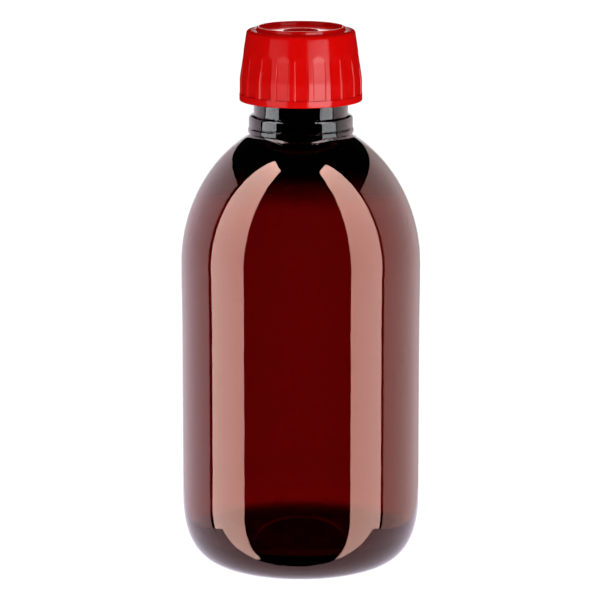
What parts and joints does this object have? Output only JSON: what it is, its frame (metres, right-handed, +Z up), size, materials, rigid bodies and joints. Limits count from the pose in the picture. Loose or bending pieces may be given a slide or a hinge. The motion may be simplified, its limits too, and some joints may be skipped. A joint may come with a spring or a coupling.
{
  "type": "medicine bottle with screw cap",
  "caption": "Round brown PET medicine bottle with a domed shoulder and a ribbed red screw cap with tamper-evident band and pouring ring.",
  "frame": {"origin": "middle of the foot ring, on the surface the bottle stands on", "axes": "+Z up the bottle's axis to the cap; +X is where both threads start"},
  "size_m": [0.061, 0.061, 0.1386],
  "materials": {
    "brown_pet": "clear glossy brown PET",
    "red_pp": "glossy moulded red polypropylene",
    "natural_ldpe": "natural milky polyethylene"
  },
  "bodies": {
    "bottle": {"bottle": "brown_pet", "pouring_ring": "natural_ldpe"},
    "band": {"tamper_band": "red_pp"},
    "cap": {"cap": "red_pp", "tear_bridges": "red_pp"}
  },
  "joints": [
    {"name": "cap_turn", "type": "hinge", "parent": "bottle", "child": "band", "pos_m": [0, 0, 0.1199], "axis": [0, 0, 1], "range_deg": [0, 2520]},
    {"name": "cap_rise", "type": "slide", "parent": "band", "child": "cap", "axis": [0, 0, 1], "range_m": [0, 0.02226]}
  ],
  "couplings": [
    {"joint": "cap_rise", "follows": "cap_turn", "m_per_rad": 0.00050611}
  ]
}
